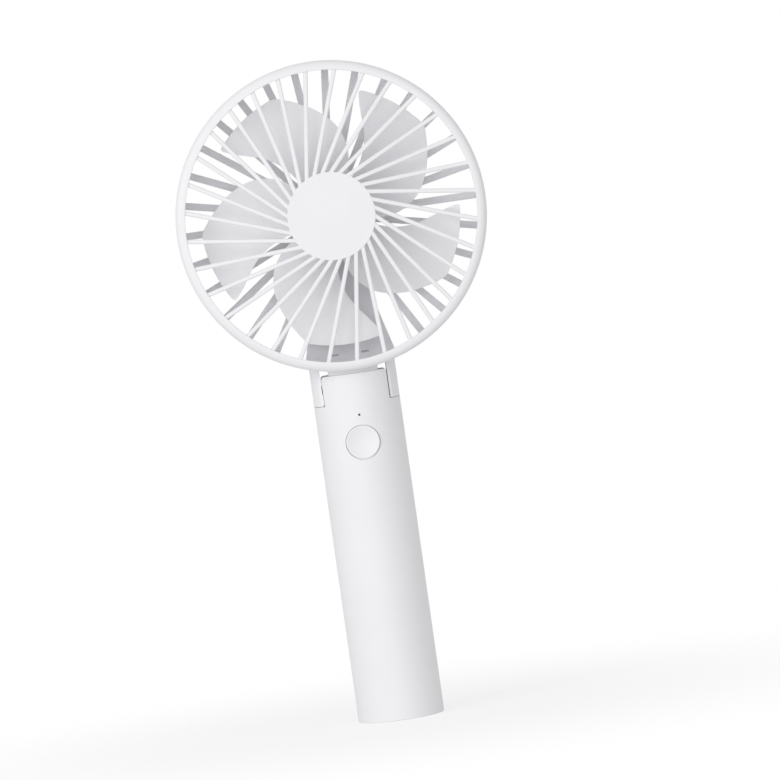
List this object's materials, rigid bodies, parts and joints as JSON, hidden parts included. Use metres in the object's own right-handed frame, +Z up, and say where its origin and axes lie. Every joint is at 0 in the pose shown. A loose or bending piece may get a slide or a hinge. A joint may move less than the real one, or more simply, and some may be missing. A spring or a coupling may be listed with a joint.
{
  "type": "folding handheld fan",
  "caption": "Rechargeable handheld fan: a caged fan head with swept front ribs, folding back on two ears at the top of a cylindrical handle with a round push button.",
  "frame": {"origin": "centre of the handle's flat base", "axes": "+Z up the handle, -Y the way the front grille and the button face"},
  "size_m": [0.107, 0.037, 0.2292],
  "materials": {
    "white_abs": "fine matte white ABS",
    "cage_abs": "matte white ABS",
    "blade_abs": "satin pale white ABS",
    "pad_rubber": "soft matte rubber",
    "screw_steel": "zinc plated steel",
    "bush_brass": "sintered bronze",
    "can_steel": "nickel plated sheet steel",
    "black_nylon": "black nylon",
    "coil_copper": "enamelled copper",
    "board_green": "solder mask on glass epoxy",
    "ferrite": "ferrite and ceramic",
    "lead_black": "soft insulation",
    "lamp_clear": "smoked clear polycarbonate",
    "cell_wrap": "shrink wrapped steel cell"
  },
  "bodies": {
    "handle": {"handle_front_shell": "white_abs", "handle_rear_shell": "white_abs", "base_pad": "pad_rubber", "shell_screws": "screw_steel", "hinge_bushes": "bush_brass", "push_switch": "can_steel", "control_board": "board_green", "indicator_lamp": "lamp_clear", "light_pipe": "lamp_clear", "charging_socket": "can_steel", "socket_tongue": "black_nylon", "charge_chip": "black_nylon", "boost_coil": "ferrite", "capacitors": "ferrite", "board_screws": "screw_steel", "cell": "cell_wrap", "cell_cap": "can_steel", "cell_tabs": "can_steel", "cell_pad": "pad_rubber", "cell_leads": "lead_black", "handle_lead": "lead_black"},
    "head": {"front_grille": "white_abs", "rear_grille": "cage_abs", "neck_cover": "cage_abs", "neck_screws": "screw_steel", "motor_cap": "cage_abs", "motor_can": "can_steel", "motor_end_bell": "black_nylon", "motor_magnets": "black_nylon", "motor_brushes": "bush_brass", "motor_bushes": "bush_brass", "motor_terminals": "bush_brass", "motor_screws": "screw_steel", "head_lead": "lead_black", "hinge_pins": "screw_steel"},
    "rotor": {"impeller": "blade_abs", "motor_shaft": "screw_steel", "armature_core": "can_steel", "armature_windings": "coil_copper", "commutator": "coil_copper"},
    "button": {"power_button": "white_abs", "switch_plunger": "black_nylon"}
  },
  "joints": [
    {"name": "head_fold", "type": "hinge", "parent": "handle", "child": "head", "pos_m": [0, 0.0045, 0.116], "axis": [-1, 0, 0], "range_deg": [0, 90]},
    {"name": "impeller_spin", "type": "hinge", "parent": "head", "child": "rotor", "pos_m": [0, 0, 0.1757], "axis": [0, 1, 0], "continuous": true},
    {"name": "button_press", "type": "slide", "parent": "handle", "child": "button", "axis": [0, 1, 0], "range_m": [0, 0.0005], "stiffness_N_per_m": 2000, "springref_m": -0.0005}
  ]
}
